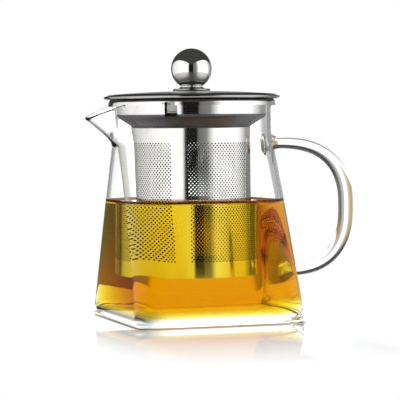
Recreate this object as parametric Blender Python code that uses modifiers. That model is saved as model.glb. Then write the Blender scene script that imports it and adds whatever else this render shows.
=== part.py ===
"""Glass teapot with a lift-out steel infuser and a lift-off steel lid.

Metres, +Z up. The origin is the centre of the base underside, on the axis of the neck.
The spout points to -X, the handle to +X and a flat face of the body to -Y.
"""

import math

import bmesh
import bpy

# Glass body: a square base that grows into a round neck
BODY_HEIGHT = 0.1057
BASE_SIDE = 0.0852
BASE_CORNER_R = 0.0074
BASE_EDGE_R = 0.0038
BASE_THICKNESS = 0.0065
FLOOR_EDGE_R = 0.0040
SHARPEST_CORNER_R = 0.0004
NECK_R = 0.0386
NECK_LENGTH = 0.0137
GLASS_WALL = 0.0020
FACE_CURVE = 0.85
CORNER_CURVE = 1.6
LIP_FLARE = 0.0020
LIP_HEIGHT = 0.0045

# Pouring lip, pulled out of the neck
SPOUT_REACH = 0.0153
SPOUT_DROP = 0.0076
SPOUT_ROOT_DROP = 0.0215
SPOUT_HALF_ANGLE = math.radians(32)
SPOUT_CURVE = 1.1

# Handle: one glass rod, bent to a D and melted to the body at both ends
HANDLE_STANDOFF = 0.0406
HANDLE_TOP_DROP = 0.0198
HANDLE_BOTTOM_HEIGHT = 0.0226
HANDLE_LEAD = 0.0055
HANDLE_THIN_R = 0.0026
HANDLE_THICK_R = 0.0037
HANDLE_WELD_R = 0.0048
HANDLE_WELD_LENGTH = 0.0030
HANDLE_SQUARENESS = 2.5

# Infuser basket, three pieces of steel sheet
SHEET = 0.0006
COLLAR_CLEARANCE = 0.0008
COLLAR_DEPTH = 0.0088
CONE_DROP = 0.0050
BEAD_R = 0.00105
BEAD_OVERHANG = 0.0002
SCREEN_R = 0.0286
SCREEN_LAP = 0.0030
BASKET_FLOOR_GAP = 0.0155
BASE_DISC_LIP = 0.0045
SHEET_BEND_R = 0.0012
WINDOW_WIDTH = 0.0062
WINDOW_HEIGHT = 0.0086
WINDOW_AZIMUTH = math.radians(-32)

# Lid: a spun disc with a rolled edge and a plug ring under it
LID_OVERHANG = 0.0024
LID_RISE = 0.0034
LID_EDGE_R = 0.0007
PLUG_CLEARANCE = 0.0005
PLUG_DEPTH = 0.0052
PLUG_SEAM = 0.0030

# Knob: a ball on a waisted neck, held by a screw from under the lid
BALL_R = 0.0100
WAIST_R = 0.0058
WAIST_HEIGHT = 0.0026
FOOT_R = 0.0092
FOOT_THICKNESS = 0.0009
SCREW_R = 0.0020
SCREW_DEPTH = 0.0075
SCREW_HEAD_R = 0.0038
SCREW_FACE_R = 0.0027
SCREW_HEAD_HEIGHT = 0.0020
WASHER_R = 0.0060
WASHER_THICKNESS = 0.0008
HOLE_CLEARANCE = 0.0003

# Pieces that touch stand this far apart
SEAT_GAP = 0.0003

# How finely round shapes are divided
BODY_SEGMENTS = 64
CORNER_CROWDING = 0.45
WALL_STEPS = 6
SPOUT_STEPS = 4
EDGE_STEPS = 3
RIM_STEPS = 4
TURN_STEPS = 40
SMALL_TURN_STEPS = 24
BEND_STEPS = 2
BEAD_STEPS = 6
DOME_STEPS = 5
BALL_STEPS = 11
SHARP_ANGLE = math.radians(50)

# Sizes that follow from the ones above
round_height = BODY_HEIGHT - NECK_LENGTH
spout_root_height = BODY_HEIGHT - SPOUT_ROOT_DROP
bead_centre_r = NECK_R + LIP_FLARE + BEAD_OVERHANG - BEAD_R
collar_r = NECK_R - GLASS_WALL - COLLAR_CLEARANCE
plug_r = collar_r - SHEET - PLUG_CLEARANCE
lid_r = bead_centre_r + BEAD_R + LID_OVERHANG
base_disc_r = SCREEN_R - SHEET - SEAT_GAP
hole_r = SCREW_R + HOLE_CLEARANCE


def clear_scene():
    for old in list(bpy.data.objects):
        bpy.data.objects.remove(old, do_unlink=True)


def new_collection(name):
    group = bpy.data.collections.new(name)
    bpy.context.scene.collection.children.link(group)
    return group


def finish(name, colour, roughness, metallic, transmission=0.0):
    """A Principled material for one kind of piece."""
    material = bpy.data.materials.new(name)
    material.use_nodes = True
    shader = material.node_tree.nodes["Principled BSDF"]
    shader.inputs["Base Color"].default_value = (*colour, 1.0)
    shader.inputs["Roughness"].default_value = roughness
    shader.inputs["Metallic"].default_value = metallic
    shader.inputs["Transmission Weight"].default_value = transmission
    return material


def place(name, data, material, group, parent=None):
    """Adds an object to the teapot, seated on its parent."""
    piece = bpy.data.objects.new(name, data)
    data.materials.append(material)
    group.objects.link(piece)
    piece.parent = parent
    return piece


def seat(name, height, group, parent=None):
    """An empty on the axis, where a piece that lifts off comes to rest."""
    empty = bpy.data.objects.new(name, None)
    empty.location.z = height
    group.objects.link(empty)
    empty.parent = parent
    return empty


def arc(centre, radius, start, end, steps):
    """Points (r, z) on an arc, from one angle in degrees to another."""
    points = []
    for i in range(steps + 1):
        angle = math.radians(start + (end - start) * i / steps)
        points.append((centre[0] + radius * math.cos(angle), centre[1] + radius * math.sin(angle)))
    return points


def bend(before, corner, after, radius):
    """The rounded corner of a sheet's outline, as points on the arc that touches both sides."""
    to_before = (before[0] - corner[0], before[1] - corner[1])
    to_after = (after[0] - corner[0], after[1] - corner[1])
    reach_before = math.hypot(*to_before)
    reach_after = math.hypot(*to_after)
    u = (to_before[0] / reach_before, to_before[1] / reach_before)
    v = (to_after[0] / reach_after, to_after[1] / reach_after)
    half = math.acos(max(-1.0, min(1.0, u[0] * v[0] + u[1] * v[1]))) / 2
    tangent = min(radius / math.tan(half), reach_before / 2, reach_after / 2)
    first = (corner[0] + u[0] * tangent, corner[1] + u[1] * tangent)
    last = (corner[0] + v[0] * tangent, corner[1] + v[1] * tangent)
    points = []
    for i in range(BEND_STEPS + 1):
        t = i / BEND_STEPS
        points.append(
            tuple(
                first[k] * (1 - t) ** 2 + corner[k] * 2 * t * (1 - t) + last[k] * t**2
                for k in range(2)
            )
        )
    return points


def turned(name, profile, closed, steps, material, group, parent):
    """A turned piece: points (r, z), down its outer side, swept round the axis."""
    mesh = bpy.data.meshes.new(name)
    edges = [(i, i + 1) for i in range(len(profile) - 1)]
    if closed:
        edges.append((len(profile) - 1, 0))
    mesh.from_pydata([(r, 0, z) for r, z in profile], edges, [])
    piece = place(name, mesh, material, group, parent)
    screw = piece.modifiers.new("turn", "SCREW")
    screw.axis = "Z"
    screw.steps = steps
    screw.render_steps = steps
    screw.use_merge_vertices = True
    screw.merge_threshold = 0.00001
    screw.use_smooth_shade = True
    return piece


def sheet(name, profile, steps, material, group, parent):
    """A turned piece of sheet steel, drawn by its outer face."""
    piece = turned(name, profile, False, steps, material, group, parent)
    wall = piece.modifiers.new("thickness", "SOLIDIFY")
    wall.thickness = SHEET
    wall.offset = -1
    wall.use_even_offset = True
    return piece


def box_cutter(name, size, centre, turn, group, parent):
    """A box that cuts an opening, turned about the axis of the teapot."""
    bpy.ops.mesh.primitive_cube_add(size=1)
    cutter = bpy.context.object
    cutter.name = name
    for corner in cutter.data.vertices:
        corner.co = [corner.co[k] * size[k] + centre[k] for k in range(3)]
    for old in list(cutter.users_collection):
        old.objects.unlink(cutter)
    group.objects.link(cutter)
    cutter.parent = parent
    cutter.rotation_euler.z = turn
    cutter.hide_render = True
    cutter.display_type = "WIRE"
    return cutter


def cut(piece, cutter):
    boolean = piece.modifiers.new(cutter.name, "BOOLEAN")
    boolean.operation = "DIFFERENCE"
    boolean.solver = "EXACT"
    boolean.object = cutter


def section_r(angle, half, corner):
    """Distance from the axis to the edge of a rounded square; corner = half makes a circle."""
    folded = angle % (math.pi / 2)
    folded = min(folded, math.pi / 2 - folded)
    flat = half - corner
    if half * math.tan(folded) <= flat:
        return half / math.cos(folded)
    across = flat * (math.cos(folded) - math.sin(folded))
    return flat * (math.cos(folded) + math.sin(folded)) + math.sqrt(corner**2 - across**2)


def spout_pull(angle):
    """How strongly the pouring lip pulls the neck outwards: 1 on its crease, 0 beside it."""
    off = abs(angle % (2 * math.pi) - math.pi)
    t = min(off / SPOUT_HALF_ANGLE, 1)
    return 1 - 3 * t**2 + 2 * t**3


def wall_point(angle, height, inset):
    """A point of the glass wall, inset from its outer face; height is as if there were no spout."""
    grown = max(0.0, min(height / round_height, 1.0))
    half = BASE_SIDE / 2 + (NECK_R - BASE_SIDE / 2) * grown**FACE_CURVE
    corner = BASE_CORNER_R + (NECK_R - BASE_CORNER_R) * grown**CORNER_CURVE
    radius = section_r(angle, half - inset, max(corner - inset, SHARPEST_CORNER_R))
    pull = spout_pull(angle)
    rise = max(0.0, height - spout_root_height) / SPOUT_ROOT_DROP
    flare = max(0.0, height - BODY_HEIGHT + LIP_HEIGHT) / LIP_HEIGHT
    radius += SPOUT_REACH * pull * rise**SPOUT_CURVE + LIP_FLARE * flare**2 * (1 - pull)
    drop = SPOUT_DROP * pull * rise
    return (radius * math.cos(angle), radius * math.sin(angle), height - drop)


def glass_body(material, group):
    """Lofts the vessel: up the outside, over the fire-polished rim and down the inside."""
    rim_r = GLASS_WALL / 2
    rim_root = BODY_HEIGHT - rim_r
    lip_root = BODY_HEIGHT - LIP_HEIGHT
    levels = []
    lip_middle = (lip_root + rim_root) / 2
    floor_edge = BASE_THICKNESS + FLOOR_EDGE_R
    for inset, height in arc((BASE_EDGE_R, BASE_EDGE_R), BASE_EDGE_R, 270, 180, EDGE_STEPS):
        levels.append((height, inset))
    for i in range(1, WALL_STEPS + 1):
        levels.append((BASE_EDGE_R + (spout_root_height - BASE_EDGE_R) * i / WALL_STEPS, 0))
    for i in range(1, SPOUT_STEPS + 1):
        levels.append((spout_root_height + (lip_root - spout_root_height) * i / SPOUT_STEPS, 0))
    levels.append((lip_middle, 0))
    for inset, height in arc((rim_r, rim_root), rim_r, 180, 0, RIM_STEPS):
        levels.append((height, inset))
    levels.append((lip_middle, GLASS_WALL))
    for i in range(SPOUT_STEPS, 0, -1):
        height = spout_root_height + (lip_root - spout_root_height) * i / SPOUT_STEPS
        levels.append((height, GLASS_WALL))
    for i in range(WALL_STEPS, 0, -1):
        height = floor_edge + (spout_root_height - floor_edge) * i / WALL_STEPS
        levels.append((height, GLASS_WALL))
    for inset, height in arc((FLOOR_EDGE_R, floor_edge), FLOOR_EDGE_R, 180, 270, EDGE_STEPS):
        levels.append((height, GLASS_WALL + inset))
    shape = bmesh.new()
    rings = []
    for height, inset in levels:
        ring = []
        for i in range(BODY_SEGMENTS):
            even = 2 * math.pi * i / BODY_SEGMENTS
            angle = even + CORNER_CROWDING * math.sin(4 * even) / 4
            ring.append(shape.verts.new(wall_point(angle, height, inset)))
        rings.append(ring)
    for lower, upper in zip(rings, rings[1:]):
        for i in range(BODY_SEGMENTS):
            j = (i + 1) % BODY_SEGMENTS
            shape.faces.new((lower[i], lower[j], upper[j], upper[i]))
    shape.faces.new(list(reversed(rings[0])))
    shape.faces.new(rings[-1])
    bmesh.ops.recalc_face_normals(shape, faces=shape.faces)
    mesh = bpy.data.meshes.new("glass_body")
    shape.to_mesh(mesh)
    shape.free()
    mesh.shade_smooth()
    mesh.set_sharp_from_angle(angle=SHARP_ANGLE)
    return place("glass_body", mesh, material, group)


def handle_root(height):
    """Where the melted end of the rod meets the body, clear of the wall above and below it."""
    below = wall_point(0, height - HANDLE_WELD_R, 0)[0]
    above = wall_point(0, height + HANDLE_WELD_R, 0)[0]
    return max(below, above) + SEAT_GAP


def handle_path():
    """The rod's centre line: two straight leads and a D of two superellipse quarters."""
    top = BODY_HEIGHT - HANDLE_TOP_DROP
    bottom = HANDLE_BOTTOM_HEIGHT
    middle = (top + bottom) / 2
    outermost = NECK_R + HANDLE_STANDOFF
    top_root = handle_root(top)
    bottom_root = handle_root(bottom)
    lead_steps = 4
    bow_steps = 32
    path = [(top_root + HANDLE_LEAD * i / lead_steps, top) for i in range(lead_steps)]
    for i in range(bow_steps + 1):
        angle = math.pi / 2 - math.pi * i / bow_steps
        out = max(0.0, math.cos(angle)) ** (2 / HANDLE_SQUARENESS)
        up = abs(math.sin(angle)) ** (2 / HANDLE_SQUARENESS)
        root = top_root if angle > 0 else bottom_root
        start = root + HANDLE_LEAD
        side = top if angle > 0 else bottom
        path.append((start + (outermost - start) * out, middle + (side - middle) * up))
    for i in range(lead_steps - 1, -1, -1):
        path.append((bottom_root + HANDLE_LEAD * i / lead_steps, bottom))
    return path


def glass_handle(material, group):
    """A rod along the handle's path, thickest at its middle and spread where it is melted on."""
    path = handle_path()
    lengths = [0.0]
    for before, after in zip(path, path[1:]):
        lengths.append(lengths[-1] + math.dist(before, after))
    curve = bpy.data.curves.new("glass_handle", "CURVE")
    curve.dimensions = "3D"
    curve.bevel_depth = HANDLE_THIN_R
    curve.bevel_resolution = 4
    curve.use_fill_caps = True
    rod = curve.splines.new("POLY")
    rod.points.add(len(path) - 1)
    for point, (x, z), along in zip(rod.points, path, lengths):
        swell = math.sin(math.pi * along / lengths[-1])
        to_end = min(along, lengths[-1] - along)
        weld = math.exp(-((to_end / HANDLE_WELD_LENGTH) ** 2))
        radius = HANDLE_THIN_R + (HANDLE_THICK_R - HANDLE_THIN_R) * swell
        radius += (HANDLE_WELD_R - HANDLE_THIN_R) * weld
        point.co = (x, 0, z, 1)
        point.radius = radius / HANDLE_THIN_R
    return place("glass_handle", curve, material, group)


def infuser(material, group, cutters):
    """The basket hangs in the neck by its rolled bead; heights are from the glass rim."""
    rest = seat("infuser_seat", BODY_HEIGHT, group)
    top = SEAT_GAP + 2 * BEAD_R
    collar_bottom = top - COLLAR_DEPTH
    cone_bottom = collar_bottom - CONE_DROP
    lap_r = base_disc_r
    lap_bottom = cone_bottom - SCREEN_LAP
    bead = arc((bead_centre_r, top - BEAD_R), BEAD_R - SHEET, 210, 450, BEAD_STEPS)
    rim = bead[-1]
    shoulder = (collar_r, top - SHEET)
    step = (collar_r, collar_bottom)
    waist = (lap_r, cone_bottom)
    end = (lap_r, lap_bottom)
    profile = bead + bend(rim, shoulder, step, SHEET_BEND_R)
    profile += bend(shoulder, step, waist, SHEET_BEND_R)
    profile += bend(step, waist, end, SHEET_BEND_R)
    profile.append(end)
    collar = sheet("infuser_collar", profile, TURN_STEPS, material, group, rest)
    window_middle = SEAT_GAP - WINDOW_HEIGHT / 2
    window = box_cutter(
        "collar_window",
        (WINDOW_WIDTH, COLLAR_DEPTH, WINDOW_HEIGHT),
        (0, -collar_r, window_middle),
        WINDOW_AZIMUTH,
        cutters,
        rest,
    )
    cut(collar, window)
    basket_bottom = BASE_THICKNESS + BASKET_FLOOR_GAP - BODY_HEIGHT
    wall_top = cone_bottom - SEAT_GAP - SHEET_BEND_R / 2
    tube = [(SCREEN_R, wall_top), (SCREEN_R, basket_bottom)]
    sheet("infuser_screen", tube, TURN_STEPS, material, group, rest)
    lip = (base_disc_r, basket_bottom + BASE_DISC_LIP)
    edge = (base_disc_r, basket_bottom)
    middle = (0, basket_bottom)
    dish = [lip] + bend(lip, edge, middle, SHEET_BEND_R) + [middle]
    sheet("infuser_base", dish, TURN_STEPS, material, group, rest)
    return rest


def dome_height(r):
    """Height of the lid's top face above its rim."""
    return LID_RISE * (1 - (r / lid_r) ** 2)


def lid(material, group, infuser_rest):
    """The lid lies on the infuser's bead; heights are from the top of that bead."""
    rest = seat("lid_seat", SEAT_GAP + 2 * BEAD_R, group, infuser_rest)
    rim_top = SEAT_GAP + SHEET - dome_height(bead_centre_r)
    dome_end = lid_r - LID_EDGE_R
    profile = []
    for i in range(DOME_STEPS + 1):
        r = hole_r + (dome_end - hole_r) * i / DOME_STEPS
        profile.append((r, rim_top + dome_height(r)))
    edge_top = profile[-1][1]
    profile += arc((dome_end, edge_top - LID_EDGE_R), LID_EDGE_R, 60, -90, EDGE_STEPS)
    sheet("lid_disc", profile, TURN_STEPS, material, group, rest)
    plug_top = rim_top + dome_height(plug_r) - SHEET - SEAT_GAP
    seam_edge = (plug_r - PLUG_SEAM, plug_top)
    corner = (plug_r, plug_top)
    lower = (plug_r, -PLUG_DEPTH)
    ring = [seam_edge] + bend(seam_edge, corner, lower, SHEET_BEND_R) + [lower]
    sheet("lid_plug_ring", ring, TURN_STEPS, material, group, rest)
    crown = seat("lid_crown", rim_top + dome_height(hole_r), group, rest)
    return crown


def knob(material, group, crown):
    """Ball, neck, washer and screw; heights are from the top of the lid's dome."""
    foot_bottom = SEAT_GAP
    foot_top = foot_bottom + FOOT_THICKNESS
    waist_top = foot_bottom + WAIST_HEIGHT
    hollow = FOOT_R - WAIST_R
    neck = [(WAIST_R, waist_top)]
    for i in range(1, EDGE_STEPS + 1):
        angle = math.pi / 2 * i / EDGE_STEPS
        r = FOOT_R - hollow * math.cos(angle)
        neck.append((r, waist_top - (waist_top - foot_top) * math.sin(angle)))
    neck += [(FOOT_R, foot_bottom), (hole_r, foot_bottom), (hole_r, waist_top)]
    turned("knob_neck", neck, True, SMALL_TURN_STEPS, material, group, crown)
    ball_seat = waist_top + SEAT_GAP
    seat_angle = math.degrees(math.asin(WAIST_R / BALL_R)) - 90
    centre = ball_seat + math.sqrt(BALL_R**2 - WAIST_R**2)
    bore_top = ball_seat + SCREW_DEPTH
    ball = arc((0, centre), BALL_R, 90, seat_angle, BALL_STEPS)
    ball[0] = (0, centre + BALL_R)
    ball += [(hole_r, ball_seat), (hole_r, bore_top), (0, bore_top)]
    turned("knob_ball", ball, False, SMALL_TURN_STEPS, material, group, crown)
    washer_top = -SHEET - SEAT_GAP
    washer_bottom = washer_top - WASHER_THICKNESS
    washer = [
        (WASHER_R, washer_top),
        (WASHER_R, washer_bottom),
        (hole_r, washer_bottom),
        (hole_r, washer_top),
    ]
    turned("knob_washer", washer, True, SMALL_TURN_STEPS, material, group, crown)
    head_top = washer_bottom - SEAT_GAP
    head_bottom = head_top - SCREW_HEAD_HEIGHT
    tip = bore_top - HOLE_CLEARANCE
    screw = [
        (0, tip),
        (SCREW_R, tip),
        (SCREW_R, head_top),
        (SCREW_HEAD_R, head_top),
        (SCREW_HEAD_R, head_top - SCREW_HEAD_HEIGHT / 2),
        (SCREW_FACE_R, head_bottom),
        (0, head_bottom),
    ]
    turned("knob_screw", screw, False, SMALL_TURN_STEPS, material, group, crown)


clear_scene()
teapot = new_collection("glass_teapot")
cutter_group = new_collection("cutters")
clear_glass = finish("borosilicate_glass", (0.95, 0.97, 0.97), 0.02, 0.0, 1.0)
satin_steel = finish("satin_stainless_steel", (0.62, 0.62, 0.61), 0.28, 1.0)
bright_steel = finish("polished_stainless_steel", (0.70, 0.70, 0.69), 0.08, 1.0)
glass_body(clear_glass, teapot)
glass_handle(clear_glass, teapot)
infuser_rest = infuser(satin_steel, teapot, cutter_group)
lid_crown = lid(bright_steel, teapot, infuser_rest)
knob(bright_steel, teapot, lid_crown)
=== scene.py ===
"""Looks of a clear glass teapot with a perforated steel infuser, a steel lid and tea in it."""

import math

import bpy
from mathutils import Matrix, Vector


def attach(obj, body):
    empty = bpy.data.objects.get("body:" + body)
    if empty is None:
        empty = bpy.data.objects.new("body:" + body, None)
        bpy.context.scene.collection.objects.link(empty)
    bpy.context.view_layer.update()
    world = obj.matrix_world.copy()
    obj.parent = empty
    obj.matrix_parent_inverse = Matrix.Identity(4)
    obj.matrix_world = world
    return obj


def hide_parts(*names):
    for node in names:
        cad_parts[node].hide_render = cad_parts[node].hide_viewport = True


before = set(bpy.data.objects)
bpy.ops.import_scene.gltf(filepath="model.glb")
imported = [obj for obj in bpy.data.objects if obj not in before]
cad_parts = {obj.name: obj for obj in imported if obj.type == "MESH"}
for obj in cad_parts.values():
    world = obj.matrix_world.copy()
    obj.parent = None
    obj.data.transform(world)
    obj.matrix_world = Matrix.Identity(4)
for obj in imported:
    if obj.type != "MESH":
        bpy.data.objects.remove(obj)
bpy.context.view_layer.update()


# Glass body and handle: clear borosilicate, blown into a mould that is square at the foot and
# round at the neck. The spout is pulled from the hot rim and the handle rod is melted on.
BODY_HEIGHT = 0.1064
BASE_SIDE = 0.0858
BASE_TURN = math.radians(2.6)
BASE_SHIFT = 0.0015
BASE_CORNER_R = 0.0052
BASE_EDGE_R = 0.0022
BASE_THICKNESS = 0.0028
FLOOR_EDGE_R = 0.0058
SHARPEST_CORNER_R = 0.0004
NECK_R = 0.0386
ROUND_HEIGHT = 0.0920
GLASS_WALL = 0.0020
LIP_THICKNESS = 0.0016
LIP_TAPER = 0.0180
FACE_CURVE = 0.60
CORNER_CURVE = 1.3
LIP_FLARE = 0.0004
LIP_HEIGHT = 0.0045
SPOUT_REACH = 0.0153
SPOUT_DROP = 0.0076
SPOUT_ROOT_DROP = 0.0215
SPOUT_HALF_ANGLE = math.radians(32)
SPOUT_CURVE = 1.25
BODY_SEGMENTS = 224
CORNER_CROWDING = 0.45
HANDLE_OUTERMOST = 0.0792
HANDLE_TOP = 0.0859
HANDLE_BOTTOM = 0.0226
HANDLE_LEAD = 0.0055
HANDLE_SINK = 0.0010
HANDLE_THIN_R = 0.0026
HANDLE_THICK_R = 0.0037
HANDLE_WELD_R = 0.0048
HANDLE_WELD_LENGTH = 0.0030
HANDLE_SQUARENESS = 2.5
END_RING = 0.0010


def section_r(angle, half, corner):
    """Distance from the axis to the edge of a rounded square; corner = half makes a circle."""
    folded = angle % (math.pi / 2)
    folded = min(folded, math.pi / 2 - folded)
    flat = half - corner
    if half * math.tan(folded) <= flat:
        return half / math.cos(folded)
    across = flat * (math.cos(folded) - math.sin(folded))
    return flat * (math.cos(folded) + math.sin(folded)) + math.sqrt(corner**2 - across**2)


def wall_point(angle, height, inset):
    """A point of the glass wall, inset from its outer face; height is as if there were no spout."""
    grown = max(0.0, min(height / ROUND_HEIGHT, 1.0))
    half = BASE_SIDE / 2 + (NECK_R - BASE_SIDE / 2) * grown**FACE_CURVE
    corner = BASE_CORNER_R + (NECK_R - BASE_CORNER_R) * grown**CORNER_CURVE
    radius = section_r(angle - BASE_TURN, half - inset, max(corner - inset, SHARPEST_CORNER_R))
    off = min(abs(angle % (2 * math.pi) - math.pi) / SPOUT_HALF_ANGLE, 1)
    pull = 1 - 3 * off**2 + 2 * off**3
    rise = max(0.0, height - BODY_HEIGHT + SPOUT_ROOT_DROP) / SPOUT_ROOT_DROP
    flare = max(0.0, height - BODY_HEIGHT + LIP_HEIGHT) / LIP_HEIGHT
    radius += SPOUT_REACH * pull * rise**SPOUT_CURVE + LIP_FLARE * flare**2 * (1 - pull)
    drop = SPOUT_DROP * pull * rise
    lean = BASE_SHIFT * (1 - grown)
    return (radius * math.cos(angle) + lean, radius * math.sin(angle), height - drop)


def arc(centre, radius, start, end, steps):
    """Points on an arc, from one angle in degrees to another."""
    points = []
    for i in range(steps + 1):
        angle = math.radians(start + (end - start) * i / steps)
        points.append((centre[0] + radius * math.cos(angle), centre[1] + radius * math.sin(angle)))
    return points


def lofted(name, levels):
    """A closed skin through the sections (height, inset) of the glass wall, with flat ends."""
    points = []
    faces = []
    for height, inset in levels:
        for i in range(BODY_SEGMENTS):
            even = 2 * math.pi * i / BODY_SEGMENTS
            angle = even + CORNER_CROWDING * math.sin(4 * even) / 4 + BASE_TURN
            points.append(wall_point(angle, height, inset))
    for ring in range(len(levels) - 1):
        for i in range(BODY_SEGMENTS):
            j = (i + 1) % BODY_SEGMENTS
            low = ring * BODY_SEGMENTS
            high = low + BODY_SEGMENTS
            faces.append((low + i, low + j, high + j, high + i))
    faces.append(tuple(range(BODY_SEGMENTS - 1, -1, -1)))
    faces.append(tuple(range(len(points) - BODY_SEGMENTS, len(points))))
    mesh = bpy.data.meshes.new(name)
    mesh.from_pydata(points, [], faces)
    piece = bpy.data.objects.new(name, mesh)
    bpy.context.scene.collection.objects.link(piece)
    mesh.shade_smooth()
    mesh.polygons[-1].use_smooth = False
    mesh.polygons[-2].use_smooth = False
    return piece


rim_r = LIP_THICKNESS / 2
rim_root = BODY_HEIGHT - rim_r
floor_edge = BASE_THICKNESS + FLOOR_EDGE_R
wall_steps = 64
edge_steps = 10
levels = [(0, BASE_EDGE_R + END_RING)]
for inset, height in arc((BASE_EDGE_R, BASE_EDGE_R), BASE_EDGE_R, 270, 180, edge_steps):
    levels.append((height, inset))
for i in range(1, wall_steps):
    levels.append((BASE_EDGE_R + (rim_root - BASE_EDGE_R) * i / wall_steps, 0))
for inset, height in arc((rim_r, rim_root), rim_r, 180, 0, edge_steps):
    levels.append((height, inset))
for i in range(wall_steps - 1, 0, -1):
    height = floor_edge + (rim_root - floor_edge) * i / wall_steps
    thinning = max(0.0, 1 - (rim_root - height) / LIP_TAPER)
    levels.append((height, GLASS_WALL + (LIP_THICKNESS - GLASS_WALL) * thinning))
for inset, height in arc((FLOOR_EDGE_R, floor_edge), FLOOR_EDGE_R, 180, 270, edge_steps):
    levels.append((height, GLASS_WALL + inset))
levels.append((BASE_THICKNESS, GLASS_WALL + FLOOR_EDGE_R + END_RING))
glass_pot = lofted("glass_pot", levels)


def handle_path(bow_steps, lead_steps):
    """The rod's centre line: two straight leads and a D of two superellipse quarters."""
    middle = (HANDLE_TOP + HANDLE_BOTTOM) / 2
    top_root = wall_point(0, HANDLE_TOP, 0)[0] - HANDLE_SINK
    bottom_root = wall_point(0, HANDLE_BOTTOM, 0)[0] - HANDLE_SINK
    lead = HANDLE_LEAD + HANDLE_SINK
    path = [(top_root + lead * i / lead_steps, HANDLE_TOP) for i in range(lead_steps)]
    for i in range(bow_steps + 1):
        angle = math.pi / 2 - math.pi * i / bow_steps
        out = max(0.0, math.cos(angle)) ** (2 / HANDLE_SQUARENESS)
        up = abs(math.sin(angle)) ** (2 / HANDLE_SQUARENESS)
        start = (top_root if angle > 0 else bottom_root) + lead
        side = HANDLE_TOP if angle > 0 else HANDLE_BOTTOM
        path.append((start + (HANDLE_OUTERMOST - start) * out, middle + (side - middle) * up))
    for i in range(lead_steps - 1, -1, -1):
        path.append((bottom_root + lead * i / lead_steps, HANDLE_BOTTOM))
    return path


path = handle_path(bow_steps=96, lead_steps=12)
lengths = [0.0]
for before, after in zip(path, path[1:]):
    lengths.append(lengths[-1] + math.dist(before, after))
bpy.ops.object.select_all(action="DESELECT")
bpy.ops.curve.primitive_nurbs_path_add()
rod = bpy.context.object
rod.data.splines.clear()
rod.data.bevel_depth = HANDLE_THIN_R
rod.data.bevel_resolution = 12
rod.data.use_fill_caps = True
line = rod.data.splines.new("POLY")
line.points.add(len(path) - 1)
for point, (x, z), along in zip(line.points, path, lengths):
    to_end = max(0.0, min(along, lengths[-1] - along) - HANDLE_SINK)
    swell = math.sin(math.pi * along / lengths[-1])
    weld = math.exp(-((to_end / HANDLE_WELD_LENGTH) ** 2))
    radius = HANDLE_THIN_R + (HANDLE_THICK_R - HANDLE_THIN_R) * swell
    radius += (HANDLE_WELD_R - HANDLE_THIN_R) * weld
    point.co = (x, 0, z, 1)
    point.radius = radius / HANDLE_THIN_R
bpy.ops.object.convert(target="MESH")
rod = bpy.context.object
bpy.ops.object.shade_smooth()
bpy.context.view_layer.objects.active = glass_pot
weld = glass_pot.modifiers.new("melted on", "BOOLEAN")
weld.operation = "UNION"
weld.solver = "EXACT"
weld.object = rod
bpy.ops.object.modifier_apply(modifier=weld.name)
bpy.data.objects.remove(rod, do_unlink=True)


def add(tree, kind, sockets=None, **settings):
    """Adds a node. Settings are its own values; a socket gets a constant or another node's output."""
    node = tree.nodes.new(kind)
    for name, value in settings.items():
        setattr(node, name, value)
    for name, value in (sockets or {}).items():
        if isinstance(value, bpy.types.NodeSocket):
            tree.links.new(value, node.inputs[name])
        else:
            node.inputs[name].default_value = value
    return node


def linear(colour):
    """A colour written as sRGB hex, as the linear RGBA that a shader takes."""
    values = []
    for i in (1, 3, 5):
        c = int(colour[i : i + 2], 16) / 255
        values.append(c / 12.92 if c <= 0.04045 else ((c + 0.055) / 1.055) ** 2.4)
    return (*values, 1.0)


# Borosilicate glass: colourless and fire-polished, so it shows only by its edges. Blowing leaves a
# slow waviness, about 12 mm from crest to crest, that bends what is seen through it a little.
WAVE_SPACING = 0.012
WAVE_DEPTH = 0.001
WAVINESS = 0.03
glass = bpy.data.materials.new("blown_borosilicate_glass")
glass.use_nodes = True
tree = glass.node_tree
place = add(tree, "ShaderNodeTexCoord")
waves = add(
    tree,
    "ShaderNodeTexNoise",
    {"Vector": place.outputs["Object"], "Scale": 1 / WAVE_SPACING, "Detail": 0.0},
)
bump = add(
    tree,
    "ShaderNodeBump",
    {"Height": waves.outputs["Fac"], "Strength": WAVINESS, "Distance": WAVE_DEPTH},
)
shader = tree.nodes["Principled BSDF"]
shader.inputs["Base Color"].default_value = linear("#ffffff")
shader.inputs["Roughness"].default_value = 0.0
shader.inputs["IOR"].default_value = 1.47
shader.inputs["Specular Tint"].default_value = linear("#606060")
shader.inputs["Transmission Weight"].default_value = 1.0
tree.links.new(bump.outputs["Normal"], shader.inputs["Normal"])
glass_pot.data.materials.append(glass)
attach(glass_pot, "pot")
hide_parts("glass_body", "glass_handle")


# Tea: a golden filling up to a little over half height. Its skin lies half a millimetre into the wall
# of the glass, so that no film of air shows between them.
TEA_LEVEL = 0.0580
TEA_OVERLAP = 0.0005
tea_inset = GLASS_WALL - TEA_OVERLAP
tea_floor = BASE_THICKNESS - TEA_OVERLAP
tea_edge = tea_floor + FLOOR_EDGE_R
tea_steps = 40
levels = [(tea_floor, tea_inset + FLOOR_EDGE_R + END_RING)]
for inset, height in arc((FLOOR_EDGE_R, tea_edge), FLOOR_EDGE_R, 270, 180, edge_steps):
    levels.append((height, tea_inset + inset))
for i in range(1, tea_steps + 1):
    levels.append((tea_edge + (TEA_LEVEL - tea_edge) * i / tea_steps, tea_inset))
tea_body = lofted("tea", levels)


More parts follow.
